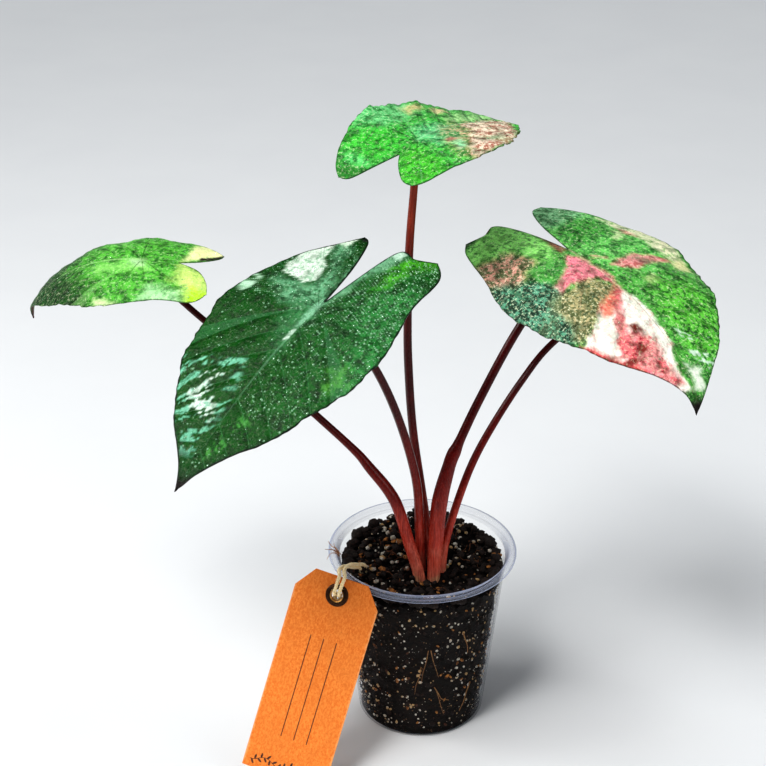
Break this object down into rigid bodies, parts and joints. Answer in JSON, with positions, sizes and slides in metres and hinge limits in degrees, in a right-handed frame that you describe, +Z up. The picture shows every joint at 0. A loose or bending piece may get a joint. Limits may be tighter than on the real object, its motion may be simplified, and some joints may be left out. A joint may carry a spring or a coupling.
{
  "type": "potted variegated alocasia",
  "caption": "Young variegated alocasia with arrow-shaped leaves on dark red stalks, growing in a clear plastic cup of soil, with a blank card tag tied to the rim.",
  "frame": {"origin": "centre of the cup's flat underside, on the surface it stands on", "axes": "+Z up, +X to the right and -Y towards the side the picture was taken from"},
  "size_m": [0.3437, 0.196, 0.3283],
  "materials": {
    "clear_plastic": "gloss",
    "soil": "matte",
    "perlite": "matte",
    "bark": "matte",
    "root": "matte",
    "stalk": "satin",
    "lime_leaf": "satin",
    "dark_leaf": "gloss",
    "mint_leaf": "satin",
    "pink_leaf": "satin",
    "water": "gloss",
    "kraft": "matte",
    "eyelet_metal": "satin",
    "jute": "matte"
  },
  "bodies": {
    "root": {"pot": "clear_plastic", "soil": "soil", "rootstock": "root", "petiole_1": "stalk", "petiole_2": "stalk", "petiole_3": "stalk", "petiole_4": "stalk", "petiole_5": "stalk", "blade_1": "lime_leaf", "blade_2": "dark_leaf", "blade_3": "mint_leaf", "blade_4": "pink_leaf", "blade_5": "dark_leaf", "tag_card": "kraft", "tag_eyelet": "eyelet_metal", "tag_twine": "jute"}
  },
  "joints": []
}
